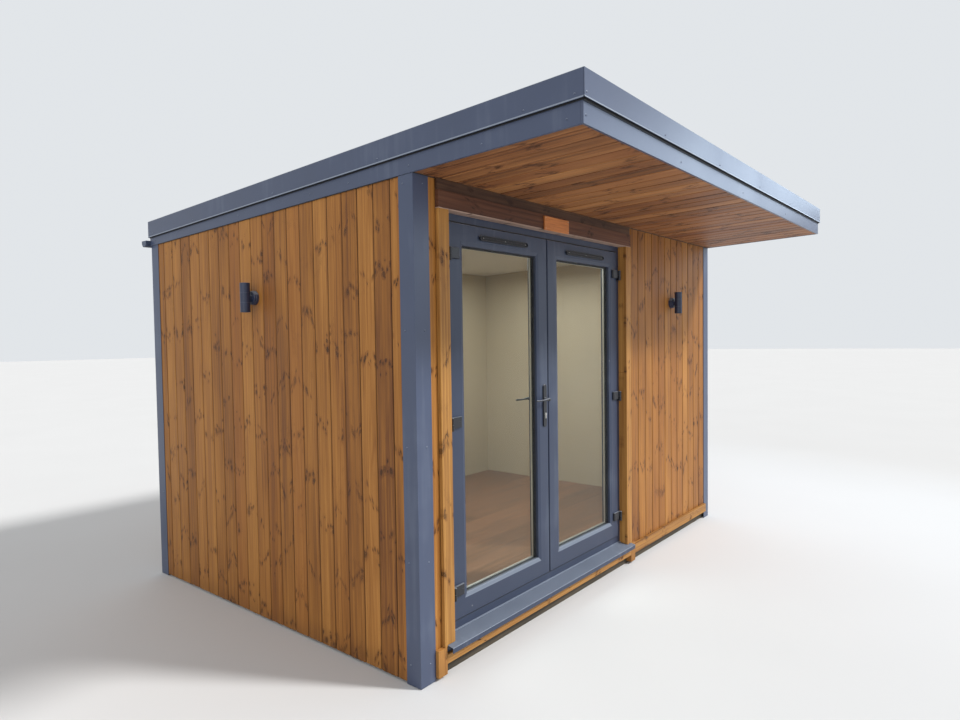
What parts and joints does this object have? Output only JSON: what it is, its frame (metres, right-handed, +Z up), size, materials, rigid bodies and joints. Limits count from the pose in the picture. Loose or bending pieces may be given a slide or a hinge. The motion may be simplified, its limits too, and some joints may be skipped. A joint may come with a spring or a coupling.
{
  "type": "garden office pod",
  "caption": "Small timber-clad garden room with a flat roof, a deep boarded canopy, outward-opening glazed double doors and cylinder wall lights.",
  "frame": {"origin": "centre of the whole pod's box at ground level", "axes": "+X to the right as one faces the glazed doors from outside, +Y from the doors to the back wall, +Z up"},
  "size_m": [3.647, 3.368, 2.5055],
  "materials": {
    "bearer_timber": "treated softwood, rough sawn",
    "insulated_panel": "board-faced insulated panel",
    "floor_boards": "brown wood-effect laminate, satin",
    "cladding": "oiled softwood boards, satin",
    "trim_timber": "oiled softwood, satin",
    "dark_timber": "dark stained softwood",
    "plaque_timber": "orange oiled hardwood",
    "soffit_timber": "oiled softwood boards, satin",
    "lining": "beige-grey wall board, matt",
    "ceiling_paint": "white board, matt",
    "membrane": "black rubber roof sheet",
    "coated_metal": "anthracite grey coated sheet, satin",
    "frame_plastic": "anthracite grey foiled plastic, satin",
    "vent_plastic": "dark grey moulded plastic",
    "glass": "clear sealed glass unit",
    "hinge_metal": "black coated steel",
    "handle_metal": "black coated metal, satin",
    "light_body": "dark grey coated aluminium"
  },
  "bodies": {
    "pod": {"ground_bearers": "bearer_timber", "floor_base": "insulated_panel", "floor_deck": "floor_boards", "left_wall": "insulated_panel", "right_wall": "insulated_panel", "back_wall": "insulated_panel", "front_wall_left": "insulated_panel", "front_wall_right": "insulated_panel", "front_wall_head": "insulated_panel", "left_cladding": "cladding", "right_cladding": "cladding", "back_cladding": "cladding", "front_cladding": "cladding", "wall_linings": "lining", "ceiling_lining": "ceiling_paint", "canopy_soffit": "soffit_timber", "roof_panel": "insulated_panel", "roof_membrane": "membrane", "front_fascia": "coated_metal", "side_and_back_fascias": "coated_metal", "front_roof_trim": "coated_metal", "side_roof_trims": "coated_metal", "back_roof_trim": "coated_metal", "corner_trims": "coated_metal", "gutter": "coated_metal", "door_frame": "frame_plastic", "door_sill": "frame_plastic", "jamb_battens": "trim_timber", "head_board": "trim_timber", "head_batten": "dark_timber", "bottom_rail": "trim_timber", "name_plaque": "plaque_timber", "left_wall_light": "light_body", "front_wall_light": "light_body", "frame_hinges": "hinge_metal"},
    "left_leaf": {"left_door": "frame_plastic", "left_glass": "glass", "left_door_vent": "vent_plastic", "left_door_hinges": "hinge_metal", "handle_plates": "handle_metal"},
    "lever": {"lever_handle": "handle_metal"},
    "right_leaf": {"right_door": "frame_plastic", "right_glass": "glass", "right_door_vent": "vent_plastic", "right_door_hinges": "hinge_metal"}
  },
  "joints": [
    {"name": "left_leaf_swing", "type": "hinge", "parent": "pod", "child": "left_leaf", "pos_m": [-1.4865, -0.808, 1.158], "axis": [0, 0, -1], "range_deg": [0, 95]},
    {"name": "right_leaf_swing", "type": "hinge", "parent": "pod", "child": "right_leaf", "pos_m": [0.2035, -0.808, 1.158], "axis": [0, 0, 1], "range_deg": [0, 95]},
    {"name": "lever_turn", "type": "hinge", "parent": "left_leaf", "child": "lever", "pos_m": [-0.6855, -0.756, 1.21], "axis": [0, -1, 0], "range_deg": [0, 45], "stiffness_Nm_per_rad": 1.5}
  ]
}
